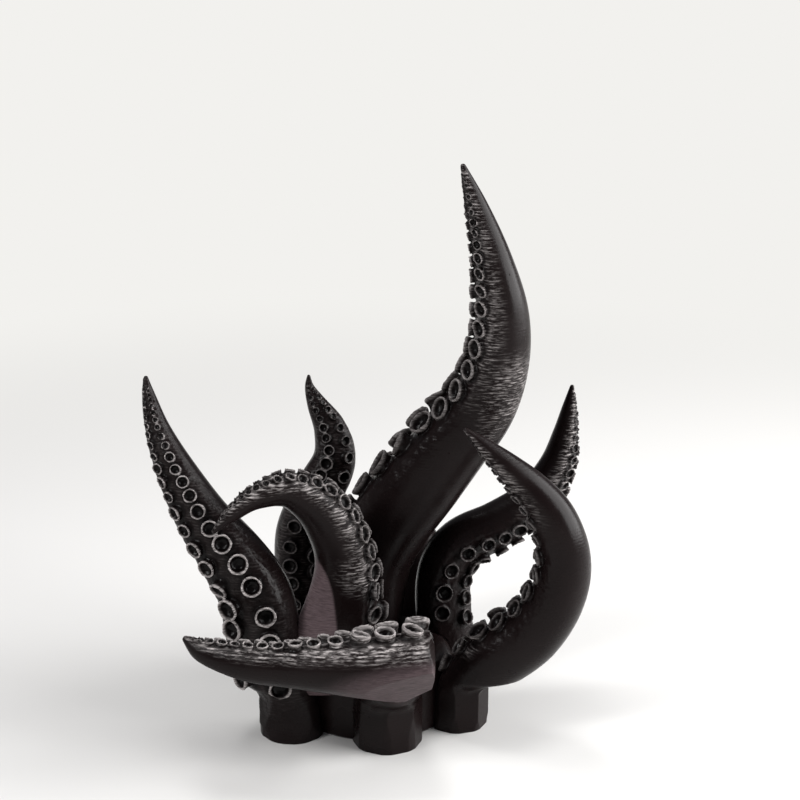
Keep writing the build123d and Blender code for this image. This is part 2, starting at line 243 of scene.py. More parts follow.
@dataclass(frozen=True)
class Flare:
    """A skirt that spreads from an arm's trunk towards one side, in millimetres."""

    way: tuple[float, float, float]
    reach: float
    top: float
    bottom: float
    # The skirt's rough, pale wedge, whose pale is partly painted sheen.
    dry_facing: float = 0.4
    dry_narrowing: float = 0.5
    dry_fade: float = 0.15

    def spread(self, places: np.ndarray, offsets: np.ndarray) -> np.ndarray:
        """Move the places that face the skirt's way out, more and more towards its foot.

        Args:
            places: Places in metres, one row each.
            offsets: The same places from the spine, as shares of the radius.

        Returns:
            The changed places.
        """
        way = np.array(Vector(self.way).normalized())
        return places + np.outer(self.hold(places, offsets) * self.reach * MM, way)

    def hold(self, places: np.ndarray, offsets: np.ndarray) -> np.ndarray:
        """How far the skirt moves each place, as a share of its reach."""
        return self._facing(offsets) * (1 - smooth_step(self.bottom * MM, self.top * MM, places[:, 2]))

    def dryness_and_sheen(self, places: np.ndarray, offsets: np.ndarray) -> np.ndarray:
        """How far each place lies on the skirt's rough, pale wedge, which narrows to its top, from 0 to 1;
        the pale is partly painted sheen.
        """
        climb = np.clip((places[:, 2] / MM - self.bottom) / (self.top - self.bottom), 0, 1)
        edge = self.dry_facing + self.dry_narrowing * climb
        return smooth_step(0, self.dry_fade, self._facing(offsets) - edge) * (climb < 1)

    def _facing(self, offsets: np.ndarray) -> np.ndarray:
        """How far each offset points the skirt's way, from 0 to 1."""
        return np.clip(offsets @ np.array(Vector(self.way).normalized()), 0, 1) ** 2


@dataclass(frozen=True)
class ScuffAndGlint:
    """A scuffed spot on an arm, in millimetres, which also gets painted glints and sheen."""

    point: tuple[float, float, float]
    reach: float
    strength: float
    core_share: float = 0.35

    def at(self, places: np.ndarray) -> np.ndarray:
        """How scuffed places in metres are, from 0 beyond the spot's reach."""
        away = np.linalg.norm(places - np.array(self.point) * MM, axis=1)
        return self.strength * (1 - smooth_step(self.core_share * self.reach * MM, self.reach * MM, away))


@dataclass(frozen=True)
class ArmPlan:
    """Place, spine, girth and sucker side of one arm, in millimetres, degrees and shares."""

    name: str
    stand: Stand
    bearing: float
    sucker_bearing: float
    girth: float
    extent: tuple[float, float, float]
    spine_shares: tuple[tuple[float, float, float], ...]
    girth_shares: tuple[float, ...]
    let_in: float = 0.0
    twist: float = 0.0
    sucker_rise: float = 0.0
    sucker_start_share: float = 0.2
    root_spine_shares: tuple[tuple[float, float, float], ...] = ()
    root_girth_shares: tuple[float, ...] = ()
    seed: int = 0
    sucker_lift: float = 1.0
    # Scuffing of the sucker side and of spots, where the colour also paints glints.
    scuff_and_glint: float = 0.3
    scuff_start_share: float = 0.0
    scuff_and_glint_spots: tuple[ScuffAndGlint, ...] = ()
    # Strength of the painted lip highlight at the first sucker and at the tip.
    rim_highlight: tuple[float, float] = (1.0, 1.0)
    # Strength of the painted highlight lines on faces that point up.
    contour_highlight: float = 0.0
    foot_edge: float = 0.0
    facets: tuple[Facet, ...] = ()
    flare: Flare | None = None

    @property
    def stands(self) -> bool:
        """Whether the spine starts upright at the foot."""
        return not any(self.spine_shares[0])

    @property
    def root(self) -> "ArmPlan":
        """The root that carries a lying arm, as a plan of its own."""
        return replace(self, spine_shares=self.root_spine_shares, girth_shares=self.root_girth_shares)

    @property
    def foot_radius(self) -> float:
        """Radius at the root or on the floor, in millimetres."""
        return self.girth * (self.root_girth_shares or self.girth_shares)[0]

    def foot(self, hub: HubPlan) -> Vector:
        """The point of the spine at the arm's root, in millimetres."""
        if self.stand is Stand.HUB:
            ring = self.foot_radius + hub.trunk_set_out
            height = hub.height - hub.shoulder
        else:
            ring = hub.radius + self.foot_radius - self.let_in
            height = 0.0
        turn = math.radians(self.bearing)
        return Vector((ring * math.cos(turn), ring * math.sin(turn), height))


@dataclass(frozen=True)
class Station:
    """A place along an arm: its centre, its frame, its radius and how far along it is, in metres."""

    centre: Vector
    along: Vector
    sucker_way: Vector
    radius: float
    share: float

    @property
    def across(self) -> Vector:
        """The way across the two rows of suckers."""
        return self.along.cross(self.sucker_way)

    @property
    def turn(self) -> Matrix:
        """The frame as a rotation: across, sucker way and along as columns."""
        return Matrix((self.across, self.sucker_way, self.along)).transposed()


@dataclass
class Spine:
    """The line that an arm follows, with a frame that does not spin about it."""

    plan: ArmPlan
    hub: HubPlan
    steps_per_span: int = 16
    side_share: float = 0.78
    round_foot_share: float = 0.12
    sucker_pitch_share: float = 0.72
    stations: list[Station] = field(default_factory=list)
    counts: list[float] = field(default_factory=list)

    def __post_init__(self) -> None:
        """Work out the closely spaced stations and the sucker pitches between them."""
        self.stations = self._place_stations()
        self.counts = self._count_pitches()

    @staticmethod
    def blend(row: tuple[float, ...], span: int, step: float) -> float:
        """Value of a smooth curve through a row of values.

        Args:
            row: The values that the curve goes through.
            span: The span between two of them.
            step: The share of that span.

        Returns:
            The value there.
        """
        before = row[span - 1] if span > 0 else 2 * row[0] - row[1]
        start = row[span]
        end = row[span + 1]
        after = row[span + 2] if span + 2 < len(row) else 2 * end - start
        square = step * step
        cube = square * step
        return (
            start * (2 * cube - 3 * square + 1)
            + (end - before) / 2 * (cube - 2 * square + step)
            + end * (3 * square - 2 * cube)
            + (after - start) / 2 * (cube - square)
        )

    def _place_stations(self) -> list[Station]:
        """Stations from the root to the tip."""
        plan = self.plan
        columns = list(zip(*plan.spine_shares))
        spans = len(plan.spine_shares) - 1
        foot = plan.foot(self.hub)
        centres = []
        radii = []
        for index in range(spans * self.steps_per_span + 1):
            span = min(index // self.steps_per_span, spans - 1)
            step = index / self.steps_per_span - span
            offset = [self.blend(column, span, step) * size for column, size in zip(columns, plan.extent)]
            centres.append((foot + Vector(offset)) * MM)
            radii.append(plan.girth * self.blend(plan.girth_shares, span, step) * MM)
        bearing = math.radians(plan.sucker_bearing)
        rise = math.radians(plan.sucker_rise)
        way = Vector((math.cos(bearing) * math.cos(rise), math.sin(bearing) * math.cos(rise), math.sin(rise)))
        stations = []
        last = len(centres) - 1
        for index, centre in enumerate(centres):
            along = (centres[min(index + 1, last)] - centres[max(index - 1, 0)]).normalized()
            if index == 0 and plan.stands:
                along = Vector((0, 0, 1))
            way = (way - along * way.dot(along)).normalized()
            share = index / last
            turned = Matrix.Rotation(math.radians(plan.twist * share), 3, along) @ way
            stations.append(Station(centre, along, turned, radii[index], share))
        return stations

    def crown_share(self, share: float) -> float:
        """Height of the sucker side over the spine as a share of the radius, round at the foot."""
        return 1 - (1 - self.side_share) * min(share / self.round_foot_share, 1)

    def crown(self, station: Station) -> Vector:
        """Middle of the sucker side at a station."""
        return station.centre + station.sucker_way * (station.radius * self.crown_share(station.share))

    def _count_pitches(self) -> list[float]:
        """Sucker pitches from the first sucker to each station, along the sucker side."""
        counts = [0.0]
        for before, after in zip(self.stations, self.stations[1:]):
            pitch = self.sucker_pitch_share * (before.radius + after.radius) / 2
            counts.append(counts[-1] + (self.crown(after) - self.crown(before)).length / pitch)
        first = counts[math.ceil(self.plan.sucker_start_share * (len(counts) - 1))]
        return [count - first for count in counts]

    def at(self, count: float) -> Station:
        """The station at a count of sucker pitches.

        Args:
            count: Pitches from the first sucker, below zero towards the foot.

        Returns:
            A station drawn between its two neighbours.
        """
        index = int(np.clip(np.searchsorted(self.counts, count), 1, len(self.counts) - 1))
        before = self.stations[index - 1]
        after = self.stations[index]
        step = (count - self.counts[index - 1]) / (self.counts[index] - self.counts[index - 1])
        along = before.along.lerp(after.along, step).normalized()
        way = before.sucker_way.lerp(after.sucker_way, step)
        way = (way - along * way.dot(along)).normalized()
        return Station(
            before.centre.lerp(after.centre, step), along, way,
            before.radius + (after.radius - before.radius) * step,
            before.share + (after.share - before.share) * step,
        )


@dataclass
class SuckerMould:
    """One sucker of unit radius, modelled once and cast along every arm.

    Its profile holds a radius and a height for each ring, from the root over the lip into the dish.
    """

    sides: int = 18
    profile_shares: tuple[tuple[float, float], ...] = (
        (0.98, -0.80), (0.88, 0.00), (0.86, 0.26), (0.95, 0.50), (1.03, 0.68), (1.02, 0.82),
        (0.94, 0.88), (0.84, 0.80), (0.75, 0.52), (0.58, 0.26), (0.22, 0.16),
    )
    model: bpy.types.Object | None = None

    def build(self) -> None:
        """Model the cup ring by ring: a waisted stalk, a rounded lip and a deep dish."""
        radius, height = self.profile_shares[0]
        bpy.ops.object.select_all(action="DESELECT")
        bpy.ops.mesh.primitive_circle_add(
            vertices=self.sides, radius=radius, fill_type="NGON", location=(0, 0, height),
        )
        self.model = bpy.context.object
        self.model.name = "sucker_mould"
        bpy.ops.object.transform_apply(location=True, rotation=True, scale=True)
        bpy.ops.object.mode_set(mode="EDIT")
        bpy.ops.mesh.select_all(action="SELECT")
        for (before, low), (after, high) in zip(self.profile_shares, self.profile_shares[1:]):
            bpy.ops.mesh.extrude_region_move(TRANSFORM_OT_translate={"value": (0, 0, high - low)})
            ratio = after / before
            bpy.ops.transform.resize(value=(ratio, ratio, 1), center_override=(0, 0, high))
        bpy.ops.mesh.select_all(action="SELECT")
        bpy.ops.mesh.normals_make_consistent(inside=False)
        bpy.ops.object.mode_set(mode="OBJECT")
        apply_modifier(self.model, "SUBSURF", levels=1, render_levels=1)

    def cast(self, place: Matrix) -> bpy.types.Object:
        """Copy the sucker to a place.

        Args:
            place: The frame and size of the new sucker.

        Returns:
            A copy with its own mesh, moved into place.
        """
        copy = self.model.copy()
        copy.data = self.model.data.copy()
        copy.data.transform(place)
        bpy.context.collection.objects.link(copy)
        return copy

    def discard(self) -> None:
        """Delete the mould once every arm has its suckers."""
        bpy.data.objects.remove(self.model)
        self.model = None


@dataclass(frozen=True)
class Sucker:
    """One sucker's seat on an arm, in metres."""

    seat: Vector
    out: Vector
    along: Vector
    radius: float
    lift: float

    @property
    def place(self) -> Matrix:
        """The sucker's frame and size as a matrix."""
        turn = Matrix((self.along, self.out.cross(self.along), self.out)).transposed()
        size = Matrix.Diagonal((self.radius, self.radius, self.radius * self.lift, 1))
        return Matrix.Translation(self.seat) @ turn.to_4x4() @ size


@dataclass(frozen=True)
class SuckerSkin:
    """Where a sucker's lip gets a painted highlight and where its cup and crease get painted shade, in
    shares of its radius.
    """

    reach_squared: float = 2.5
    floor: float = -0.6
    lip_radius: float = 0.95
    lip_height: float = 0.80
    lip_squash: float = 0.8
    lip_fade: tuple[float, float] = (0.10, 0.30)
    cup_fade: tuple[float, float] = (0.62, 0.84)
    crease_fade: tuple[float, float] = (1.0, 1.45)
    crease_height_fade: tuple[float, float] = (0.1, 0.5)
    crease_share: float = 0.75

    def rim(self, radial: np.ndarray, height: np.ndarray) -> np.ndarray:
        """How near each place is to the lip, from 0 to 1."""
        from_lip = np.hypot(radial - self.lip_radius, (height - self.lip_height) * self.lip_squash)
        return 1 - smooth_step(*self.lip_fade, from_lip)

    def cup(self, radial: np.ndarray, height: np.ndarray) -> np.ndarray:
        """How far each place lies in the cup, from 0 to 1, or less far in the crease about the stalk, which
        both get painted shade.
        """
        inside = 1 - smooth_step(*self.cup_fade, radial)
        crease = 1 - smooth_step(*self.crease_fade, radial)
        crease *= 1 - smooth_step(*self.crease_height_fade, height)
        return np.maximum(inside, self.crease_share * crease) * (height > self.floor)


@dataclass
class Arm:
    """One printed arm with two rows of suckers."""

    plan: ArmPlan
    hub: HubPlan
    sides: int = 32
    ring_step_share: float = 0.3
    edge_angle: float = 55.0
    foot_overrun: float = 3.0
    sucker_radius_share: float = 0.31
    sucker_row_share: float = 0.42
    sucker_splay: float = 24.0
    sucker_least_radius: float = 0.45
    sucker_lean_spread: float = 0.11
    sucker_tilt_spread: float = 0.13
    sucker_size_range: tuple[float, float] = (0.86, 1.06)
    sucker_side_fade: tuple[float, float] = (-0.1, 0.55)
    sucker_side_start: float = 0.4
    sucker_skin: SuckerSkin = SuckerSkin()
    scuff_fade_share: float = 0.1
    level_fade: tuple[float, float] = (0.35, 0.85)
    foot_flats: int = 8
    foot_flat_share: float = 0.96
    foot_flat_top: float = 22.0
    rough_mm: float = 2.2
    rough_depth: float = 0.6
    rough_detail: int = 3
    hub_sides: int = 128
    shoulder_segments: int = 10
    voxel: float = 0.36
    quick_voxel: float = 0.6
    smooth_rounds: int = 3
    smooth_factor: float = 0.5
    face_limit: int = 150000
    block_rows: int = 8192
    spine: Spine | None = None
    suckers: list[Sucker] = field(default_factory=list)
    piece: bpy.types.Object | None = None

    def build(self, mould: SuckerMould) -> bpy.types.Object:
        """Model the arm from its root to its suckers.

        Args:
            mould: The sucker to cast along it.

        Returns:
            The finished piece.
        """
        self.spine = Spine(self.plan, self.hub)
        self.suckers = self._seat_suckers()
        self.piece = self._grow_body(self.spine)
        self.piece.name = self.plan.name + "_print"
        parts = [mould.cast(sucker.place) for sucker in self.suckers]
        if self.plan.root_spine_shares:
            parts.append(self._grow_body(Spine(self.plan.root, self.hub)))
        self._join(parts)
        self._fuse_flesh()
        self._shape_flats()
        self._roughen()
        self._fit_to_hub()
        self._paint()
        select_only(self.piece)
        bpy.ops.object.shade_smooth()
        return self.piece

    def _rings(self, spine: Spine) -> list[Station]:
        """Stations of the rings that a body grows through, set out by its girth."""
        rings = [spine.stations[0]]
        travelled = 0.0
        for before, after in zip(spine.stations, spine.stations[1:]):
            travelled += (after.centre - before.centre).length
            if travelled >= self.ring_step_share * after.radius:
                rings.append(after)
                travelled = 0.0
        if rings[-1] is not spine.stations[-1]:
            rings.append(spine.stations[-1])
        return rings

    def _grow_body(self, spine: Spine) -> bpy.types.Object:
        """Extrude a round ring step by step along a spine, and flatten its sucker side.

        Args:
            spine: The spine of the arm or of its root.

        Returns:
            The closed body.
        """
        rings = self._rings(spine)
        first = rings[0]
        start = first.centre
        if spine.plan.stands:
            start = start - first.along * (self.foot_overrun * MM)
        bpy.ops.object.select_all(action="DESELECT")
        bpy.ops.mesh.primitive_circle_add(
            vertices=self.sides, radius=first.radius, fill_type="NGON", location=start,
            rotation=basis_about(first.along).to_euler(),
        )
        body = bpy.context.object
        bpy.ops.object.transform_apply(location=True, rotation=True, scale=True)
        bpy.ops.object.mode_set(mode="EDIT")
        bpy.ops.mesh.select_mode(type="VERT")
        bpy.ops.mesh.select_all(action="SELECT")
        if spine.plan.stands:
            bpy.ops.mesh.extrude_region_move(TRANSFORM_OT_translate={"value": first.centre - start})
        for before, after in zip(rings, rings[1:]):
            bpy.ops.mesh.extrude_region_move(TRANSFORM_OT_translate={"value": after.centre - before.centre})
            axis, angle = (after.turn @ before.turn.inverted()).to_quaternion().to_axis_angle()
            # With no window the operator turns the other way, so the angle's sign is changed.
            bpy.ops.transform.rotate(
                value=-angle, orient_axis="Z", orient_matrix=basis_about(axis), center_override=after.centre,
            )
            ratio = after.radius / before.radius
            bpy.ops.transform.resize(value=(ratio, ratio, ratio), center_override=after.centre)
            self._flatten(body, spine, before, after)
        bpy.ops.mesh.select_all(action="SELECT")
        bpy.ops.mesh.normals_make_consistent(inside=False)
        bpy.ops.object.mode_set(mode="OBJECT")
        apply_modifier(body, "SUBSURF", levels=1, render_levels=1)
        return body

    def _flatten(self, body: bpy.types.Object, spine: Spine, before: Station, after: Station) -> None:
        """Press the sucker side of the newest ring a little flatter than the ring before it.

        Args:
            body: The body, in edit mode.
            spine: The spine that it follows.
            before: The ring before.
            after: The newest ring, whose vertices are selected.
        """
        edge = math.cos(math.radians(self.edge_angle))
        ratio = (spine.crown_share(after.share) - edge) / (spine.crown_share(before.share) - edge)
        if abs(ratio - 1) < TINY:
            return
        mesh = bmesh.from_edit_mesh(body.data)
        ring = [vertex for vertex in mesh.verts if vertex.select]
        for vertex in ring:
            vertex.select = (vertex.co - after.centre).dot(after.sucker_way) > edge * after.radius
        bmesh.update_edit_mesh(body.data)
        bpy.ops.transform.resize(
            value=(1, 1, ratio), orient_matrix=basis_about(after.sucker_way),
            center_override=after.centre + after.sucker_way * (edge * after.radius),
        )
        mesh = bmesh.from_edit_mesh(body.data)
        mesh.verts.ensure_lookup_table()
        for vertex in mesh.verts[len(mesh.verts) - len(ring):]:
            vertex.select = True
        mesh.select_flush(True)
        bmesh.update_edit_mesh(body.data)

    def _seat_suckers(self) -> list[Sucker]:
        """Seats of the two staggered rows, down to the smallest suckers at the tip."""
        seats = []
        splay = math.radians(self.sucker_splay)
        draw = np.random.default_rng(self.plan.seed)
        for index in range(math.floor(2 * self.spine.counts[-1])):
            station = self.spine.at(index / 2)
            radius = station.radius * self.sucker_radius_share
            if radius < self.sucker_least_radius * MM:
                break
            side = 1 if index % 2 == 0 else -1
            aside = station.radius * self.sucker_row_share
            drop = aside * math.tan(splay) / 2
            seat = self.spine.crown(station) + station.across * (aside * side) - station.sucker_way * drop
            lean = splay * side + draw.normal(0, self.sucker_lean_spread)
            out = station.sucker_way * math.cos(lean) + station.across * math.sin(lean)
            out = (out + station.along * draw.normal(0, self.sucker_tilt_spread)).normalized()
            along = (station.along - out * out.dot(station.along)).normalized()
            radius *= draw.uniform(*self.sucker_size_range)
            seats.append(Sucker(seat, out, along, radius, self.plan.sucker_lift))
        return seats

    def _join(self, parts: list[bpy.types.Object]) -> None:
        """Join the suckers and a root to the arm's body."""
        select_only(self.piece)
        for part in parts:
            part.select_set(True)
        bpy.ops.object.join()

    def _fuse_flesh(self) -> None:
        """Fuse body and suckers into one skin with soft creases."""
        voxel = self.voxel * MM
        apply_modifier(self.piece, "REMESH", mode="VOXEL", voxel_size=voxel, use_smooth_shade=True)
        apply_modifier(self.piece, "SMOOTH", factor=self.smooth_factor, iterations=self.smooth_rounds)
        ratio = self.face_limit / (2 * len(self.piece.data.polygons))
        if ratio < 1:
            apply_modifier(self.piece, "DECIMATE", decimate_type="COLLAPSE", ratio=ratio)

    def _from_spine(self, places: np.ndarray) -> tuple[np.ndarray, np.ndarray]:
        """Where places lie about the spine.

        Args:
            places: Places in metres, one row each.

        Returns:
            The number of the nearest station and the offset from it as a share of its radius.
        """
        centres = np.array([station.centre for station in self.spine.stations])
        radii = np.array([station.radius for station in self.spine.stations])
        nearest = np.empty(len(places), int)
        for start in range(0, len(places), self.block_rows):
            rows = slice(start, start + self.block_rows)
            nearest[rows] = ((places[rows, None, :] - centres) ** 2).sum(axis=2).argmin(axis=1)
        return nearest, (places - centres[nearest]) / radii[nearest, None]

    def _shape_flats(self) -> None:
        """Plane the arm's own flats and the flats of its foot, and spread its skirt."""
        places = vertex_places(self.piece)
        offsets = self._from_spine(places)[1]
        if self.plan.flare:
            places = self.plan.flare.spread(places, offsets)
        for facet in (*self.plan.facets, *self._foot_facets()):
            places = facet.trim(places, offsets)
        self.piece.data.vertices.foreach_set("co", places.astype(np.float32).ravel())
        self.piece.data.update()

    def _foot_facets(self) -> list[Facet]:
        """The flats about an arm's foot on the floor.

        Returns:
            The flats, or none for an arm that stands on the hub.
        """
        if self.plan.stand is not Stand.FLOOR:
            return []
        foot = self.plan.foot(self.hub)
        reach = self.plan.foot_radius * self.foot_flat_share
        facets = []
        for index in range(self.foot_flats):
            turn = math.radians(self.plan.foot_edge) + math.tau * (index + 0.5) / self.foot_flats
            way = Vector((math.cos(turn), math.sin(turn), 0))
            facets.append(Facet(tuple(foot + way * reach), tuple(way), top=self.foot_flat_top))
        return facets

    def _sucker_side(self, places: np.ndarray) -> np.ndarray:
        """How far each place lies on the sucker side, from 0 on the back to 1."""
        nearest, offsets = self._from_spine(places)
        ways = np.array([station.sucker_way for station in self.spine.stations])
        shares = np.array([station.share for station in self.spine.stations])[nearest]
        facing = smooth_step(*self.sucker_side_fade, (offsets * ways[nearest]).sum(axis=1))
        first = self.plan.sucker_start_share
        return facing * smooth_step(self.sucker_side_start * first, first, shares)

    def _roughen(self) -> None:
        """Break up the sucker side as rough printing leaves it."""
        weights = np.round(self._sucker_side(vertex_places(self.piece)), 1)
        group = self.piece.vertex_groups.new(name="sucker_side")
        for weight in np.unique(weights[weights > 0]):
            group.add(np.flatnonzero(weights == weight).tolist(), float(weight), "REPLACE")
        texture = bpy.data.textures.new("rough_print", "CLOUDS")
        texture.noise_scale = self.rough_mm * MM
        texture.noise_depth = self.rough_detail
        apply_modifier(
            self.piece, "DISPLACE", texture=texture, texture_coords="LOCAL", strength=self.rough_depth * MM,
            mid_level=0.5, vertex_group=group.name,
        )
        bpy.data.textures.remove(texture)
        self.piece.vertex_groups.clear()

    def _fit_to_hub(self) -> None:
        """Cut the seat on the hub, the peg's socket and the flat underside of the foot."""
        for cutter in (self._hub_cutter(), self._peg_cutter()):
            apply_modifier(self.piece, "BOOLEAN", operation="DIFFERENCE", solver="EXACT", object=cutter)
            bpy.data.objects.remove(cutter)
        select_only(self.piece)
        bpy.ops.object.mode_set(mode="EDIT")
        bpy.ops.mesh.select_all(action="SELECT")
        bpy.ops.mesh.bisect(
            plane_co=(0, 0, 0), plane_no=(0, 0, 1), use_fill=True, clear_inner=True, threshold=TINY,
        )
        bpy.ops.object.mode_set(mode="OBJECT")

    def _hub_cutter(self) -> bpy.types.Object:
        """The hub's form grown by the seat gap."""
        gap = self.hub.seat_gap
        top = (self.hub.height + gap) * MM
        low = -2 * self.foot_overrun * MM
        bpy.ops.object.select_all(action="DESELECT")
        bpy.ops.mesh.primitive_cylinder_add(
            vertices=self.hub_sides, radius=(self.hub.radius + gap) * MM, depth=top - low,
            location=(0, 0, (top + low) / 2),
        )
        cutter = bpy.context.object
        bpy.ops.object.transform_apply(location=True, rotation=True, scale=True)
        bpy.ops.object.mode_set(mode="EDIT")
        bpy.ops.mesh.select_mode(type="EDGE")
        bpy.ops.mesh.select_all(action="DESELECT")
        mesh = bmesh.from_edit_mesh(cutter.data)
        for edge in mesh.edges:
            edge.select = all(vertex.co.z > top / 2 for vertex in edge.verts)
        bmesh.update_edit_mesh(cutter.data)
        bpy.ops.mesh.bevel(
            offset=(self.hub.shoulder + gap) * MM, segments=self.shoulder_segments, affect="EDGES",
        )
        bpy.ops.object.mode_set(mode="OBJECT")
        return cutter

    def _peg_cutter(self) -> bpy.types.Object:
        """The room that the arm's square peg needs."""
        hub = self.hub
        turn = math.radians(self.plan.bearing)
        if self.plan.stand is Stand.HUB:
            foot = self.plan.foot(hub)
            centre = Vector((foot.x, foot.y, hub.height))
            rotation = (0, 0, turn)
        else:
            centre = Vector((hub.radius * math.cos(turn), hub.radius * math.sin(turn), hub.peg_height))
            rotation = (0, math.pi / 2, turn)
        side = (hub.peg_side + 2 * hub.peg_clearance) * MM
        length = (hub.peg_length + 2 * hub.peg_end_clearance) * MM
        bpy.ops.object.select_all(action="DESELECT")
        bpy.ops.mesh.primitive_cube_add(
            size=1, location=centre * MM, rotation=rotation, scale=(side, side, length),
        )
        cutter = bpy.context.object
        bpy.ops.object.transform_apply(location=True, rotation=True, scale=True)
        return cutter

    def _paint(self) -> None:
        """Give the skin its attributes: lips for a painted highlight, cups and creases for painted shade, the
        scuffed sucker side with painted glints, propped flats with partly painted sheen, and faces that point
        up for painted highlight lines.
        """
        places = vertex_places(self.piece)
        rim = np.zeros(len(places))
        cup = np.zeros(len(places))
        for sucker in self.suckers:
            offset = (places - np.array(sucker.seat)) / sucker.radius
            near = np.flatnonzero(np.einsum("ij,ij->i", offset, offset) < self.sucker_skin.reach_squared)
            rise = offset[near] @ np.array(sucker.out)
            radial = np.linalg.norm(offset[near] - rise[:, None] * np.array(sucker.out), axis=1)
            height = rise / sucker.lift
            # The lips get a painted highlight.
            rim[near] = np.maximum(rim[near], self.sucker_skin.rim(radial, height))
            # The cups and the creases about the stalks get painted shade.
            cup[near] = np.maximum(cup[near], self.sucker_skin.cup(radial, height))
        # The scuffed sucker side is rougher, and its colour gets painted glints.
        scuff_and_glint = self._scuffing_and_glints(places) * (1 - cup)
        # Faces that point up get light lines along the layers: painted highlight.
        level = smooth_step(*self.level_fade, vertex_normals(self.piece)[:, 2]) * self.plan.contour_highlight
        # Strength of the painted lip highlight along the arm.
        highlight = np.interp(self._shares(places), (self.plan.sucker_start_share, 1), self.plan.rim_highlight)
        for name, values in zip(SKINS, (rim * highlight, cup, scuff_and_glint, self._dryness_and_sheen(places), level)):
            attribute = self.piece.data.attributes.new(name, "FLOAT", "POINT")
            attribute.data.foreach_set("value", values.astype(np.float32))

    def _shares(self, places: np.ndarray) -> np.ndarray:
        """How far along the arm each place lies, from 0 at its start to 1 at its tip."""
        return np.array([station.share for station in self.spine.stations])[self._from_spine(places)[0]]

    def _scuffing_and_glints(self, places: np.ndarray) -> np.ndarray:
        """How scuffed the print is at each place, on the sucker side and on the arm's own spots, where the
        colour also paints glints.
        """
        first = self.plan.scuff_start_share
        fade = self.scuff_fade_share
        begun = smooth_step(first - fade, first + fade, self._shares(places))
        scuff_and_glint = self._sucker_side(places) * self.plan.scuff_and_glint * begun
        for spot in self.plan.scuff_and_glint_spots:
            scuff_and_glint = np.maximum(scuff_and_glint, spot.at(places))
        return scuff_and_glint

    def _dryness_and_sheen(self, places: np.ndarray) -> np.ndarray:
        """How rough and pale the print is at each place, on flats and skirts that were propped in printing;
        the pale is partly their matt finish and partly painted sheen.
        """
        offsets = self._from_spine(places)[1]
        dry_and_sheen = np.zeros(len(places))
        for facet in self.plan.facets:
            dry_and_sheen = np.maximum(dry_and_sheen, facet.dryness_and_sheen(places, offsets))
        if self.plan.flare:
            dry_and_sheen = np.maximum(dry_and_sheen, self.plan.flare.dryness_and_sheen(places, offsets))
        return dry_and_sheen


@dataclass(frozen=True)
class PrintPatterns:
    """The sockets that a print's colour, gloss and relief are worked out from."""

    place: bpy.types.NodeSocket
    patches: bpy.types.NodeSocket
    streaks: bpy.types.NodeSocket
    layers: bpy.types.NodeSocket
    # Lips for painted highlight, cups for painted shade, scuffed side for painted glints, propped flats for
    # partly painted sheen, up-facing faces for painted highlight lines.
    rim: bpy.types.NodeSocket
    cup: bpy.types.NodeSocket
    scuff_and_glint: bpy.types.NodeSocket
    dry_and_sheen: bpy.types.NodeSocket
    level: bpy.types.NodeSocket


